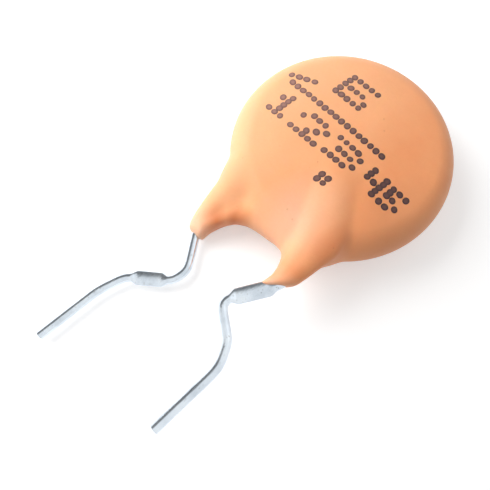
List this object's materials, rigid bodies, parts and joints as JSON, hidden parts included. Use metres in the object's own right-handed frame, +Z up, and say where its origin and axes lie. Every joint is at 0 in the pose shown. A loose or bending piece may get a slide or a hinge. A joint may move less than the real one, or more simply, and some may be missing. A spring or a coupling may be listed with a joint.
{
  "type": "ceramic disc capacitor",
  "caption": "Round ceramic capacitor dipped in orange resin, with two formed wire leads that end in short straight pins.",
  "frame": {"origin": "middle of the area the part covers, on the surface it lies on; the disc's centre is 7.5 mm along +Y from it", "axes": "+Z up out of the marked front face, +Y from the lead tips towards the disc, +X towards the right lead"},
  "size_m": [0.015, 0.03, 0.0043],
  "materials": {
    "resin": "satin dipped phenolic resin",
    "fired_ceramic": "matt fired titanate",
    "silver_film": "matt fired silver",
    "solder": "dull solder",
    "tinned_wire": "bright tinned copper"
  },
  "bodies": {
    "root": {"resin_coating": "resin", "ceramic_disc": "fired_ceramic", "front_electrode": "silver_film", "back_electrode": "silver_film", "front_solder_joint": "solder", "back_solder_joint": "solder", "left_lead": "tinned_wire", "right_lead": "tinned_wire"}
  },
  "joints": []
}
